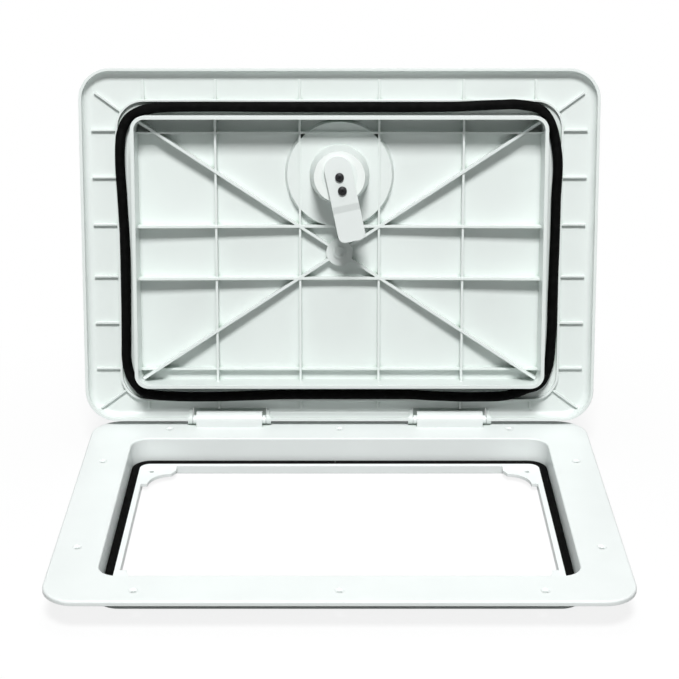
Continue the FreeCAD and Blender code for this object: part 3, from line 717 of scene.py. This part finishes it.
def edge_arc(middle, way):
    """The rounded top edge of the strip: three points from its side up to its top."""
    shoulder = GASKET_THICKNESS - GASKET_ROUND
    turns = [math.radians(turn) for turn in (0, 45, 90)]
    return [(middle + way * GASKET_ROUND * math.cos(turn),
             shoulder + GASKET_ROUND * math.sin(turn)) for turn in turns]


half_width = GASKET_WIDTH / 2
gasket_line = round_rectangle(
    GASKET_HALF_X - half_width, GASKET_HALF_Y - half_width, GASKET_CORNER - half_width,
    GASKET_JOINT_X, GASKET_JOINT_GAP, GASKET_CORNER_STEPS)
gasket_line = evenly(gasket_line, GASKET_STEP)
outer_arc = edge_arc(half_width - GASKET_ROUND, 1)
gasket_sections = []
for place in gasket_line:
    wander = GASKET_WANDER * (0.5 + noise.noise(place * GASKET_WANDER_SCALE))
    inner = -half_width + wander
    inner_arc = edge_arc(inner + GASKET_ROUND, -1)[::-1]
    gasket_sections.append([(half_width, 0.0)] + outer_arc + inner_arc + [(inner, 0.0)])
gasket = swept("frame_flat_gasket", gasket_line, gasket_sections, closed=False)
to_groove = Matrix.Translation((0.0, GASKET_MIDDLE_Y, GASKET_BOTTOM))
gasket.data.transform(Matrix.Scale(MM, 4) @ to_groove)
gasket.data.materials.append(rubber)
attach(gasket, "frame_body")
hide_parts("frame_gasket")
print("gasket: %.0f mm of strip" % ((len(gasket_line) - 1) * GASKET_STEP))

# %% [markdown]
# Two pan head screws hold the cam arm on the end of the latch shaft. The head's crown is a
# turned outline, and the cross is sunk by subtracting two crossed wedges, as the heading
# punch does it. The screws come after the seals because they use another way of building:
# a solid first, and then a cut. These are the three tools for it.

# %% Tools for the cam screws
HEAD_HEIGHT = 2.8
CROSS_LENGTH, CROSS_WIDTH, CROSS_DEPTH = 4.4, 1.0, 1.4
CROSS_LENGTH_DEEP, CROSS_WIDTH_DEEP = 0.5, 0.7
LATHE_SIDES = 40


def turned(name, outline):
    """A closed turned solid from (radius, height) pairs that start and end on the axis."""
    build = bmesh.new()
    rings = []
    for radius, height in outline:
        if radius == 0.0:
            rings.append([build.verts.new((0.0, 0.0, height))])
        else:
            angles = [math.tau * side / LATHE_SIDES for side in range(LATHE_SIDES)]
            around = [(radius * math.cos(angle), radius * math.sin(angle)) for angle in angles]
            rings.append([build.verts.new((x, y, height)) for x, y in around])
    for first, second in zip(rings, rings[1:]):
        for side in range(LATHE_SIDES):
            beside = (side + 1) % LATHE_SIDES
            loop = [first[side % len(first)], first[beside % len(first)],
                    second[beside % len(second)], second[side % len(second)]]
            build.faces.new(list(dict.fromkeys(loop)))
    bmesh.ops.recalc_face_normals(build, faces=build.faces)
    mesh = bpy.data.meshes.new(name)
    build.to_mesh(mesh)
    build.free()
    piece = bpy.data.objects.new(name, mesh)
    bpy.context.scene.collection.objects.link(piece)
    return piece


def cross_punch():
    """Two crossed wedges that narrow towards the bottom of the recess."""
    build = bmesh.new()
    for turn in (0.0, math.pi / 2):
        wedge = bmesh.ops.create_cube(build, size=1.0)["verts"]
        for vert in wedge:
            deep = vert.co.z < 0
            vert.co.x *= CROSS_LENGTH * (CROSS_LENGTH_DEEP if deep else 1.0)
            vert.co.y *= CROSS_WIDTH * (CROSS_WIDTH_DEEP if deep else 1.0)
            vert.co.z = HEAD_HEIGHT - CROSS_DEPTH if deep else HEAD_HEIGHT + 1.0
        bmesh.ops.rotate(build, verts=wedge, matrix=Matrix.Rotation(turn, 3, "Z"))
    mesh = bpy.data.meshes.new("cross_punch")
    build.to_mesh(mesh)
    build.free()
    punch = bpy.data.objects.new("cross_punch", mesh)
    bpy.context.scene.collection.objects.link(punch)
    return punch


def cut_away(piece, tool):
    """Subtract one mesh from another and keep the result."""
    cut = piece.modifiers.new("cut", "BOOLEAN")
    cut.operation = "DIFFERENCE"
    cut.solver = "EXACT"
    cut.use_self = True
    cut.object = tool
    bpy.context.view_layer.update()
    result = piece.evaluated_get(bpy.context.evaluated_depsgraph_get())
    made = bpy.data.meshes.new_from_object(result)
    piece.modifiers.clear()
    piece.data = made
    bpy.data.objects.remove(tool)


print("tools for the cam screws are ready")

# %% [markdown]
# The seat of the first screw is the latch's own turning line, read from the joint, and the
# second sits one spacing along the arm, which stands turned by a few degrees in the
# photograph. Screws are never driven to the same angle, so each cross has a turn of its own.

# %% The cam screws
HEAD_RADIUS, HEAD_RIM, HEAD_EDGE = 3.9, 1.4, 0.2
SHANK_RADIUS, SHANK_LENGTH, SHANK_POINT = 2.0, 17.0, 1.5
CROWN_STEP = 12
SCREW_SEAT_LEVEL = -32.5
SCREW_SPACING = 12.0
ARM_TURN = math.radians(12.0)
SCREWS = (("inner", 0.0, 0.5), ("outer", SCREW_SPACING, 1.1))

crown = []
for turn in range(0, 90, CROWN_STEP):
    angle = math.radians(turn)
    rise = (HEAD_HEIGHT - HEAD_RIM) * math.sin(angle)
    crown.append((HEAD_RADIUS * math.cos(angle), HEAD_RIM + rise))
screw_outline = [
    (0.0, -SHANK_LENGTH), (SHANK_RADIUS, -SHANK_LENGTH + SHANK_POINT), (SHANK_RADIUS, 0.0),
    (HEAD_RADIUS - HEAD_EDGE, 0.0), (HEAD_RADIUS, HEAD_EDGE)] + crown + [(0.0, HEAD_HEIGHT)]
latch_shut = shut_to_open.inverted() @ latch_pivot
for place_name, along_arm, spin in SCREWS:
    screw = turned("cam_screw_" + place_name, screw_outline)
    cut_away(screw, cross_punch())
    seat = Vector((math.sin(ARM_TURN), math.cos(ARM_TURN), 0.0)) * (along_arm * MM)
    seat += Vector((latch_shut.x, latch_shut.y, SCREW_SEAT_LEVEL * MM))
    place = Matrix.Translation(seat) @ Matrix.Rotation(math.pi, 4, "X")
    place = place @ Matrix.Rotation(spin, 4, "Z") @ Matrix.Scale(MM, 4)
    screw.data.transform(shut_to_open @ place)
    screw.data.materials.append(screw_black)
    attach(screw, "latch_body")
    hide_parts("cam_screws")
    print(screw.name, "has", len(screw.data.polygons), "faces")
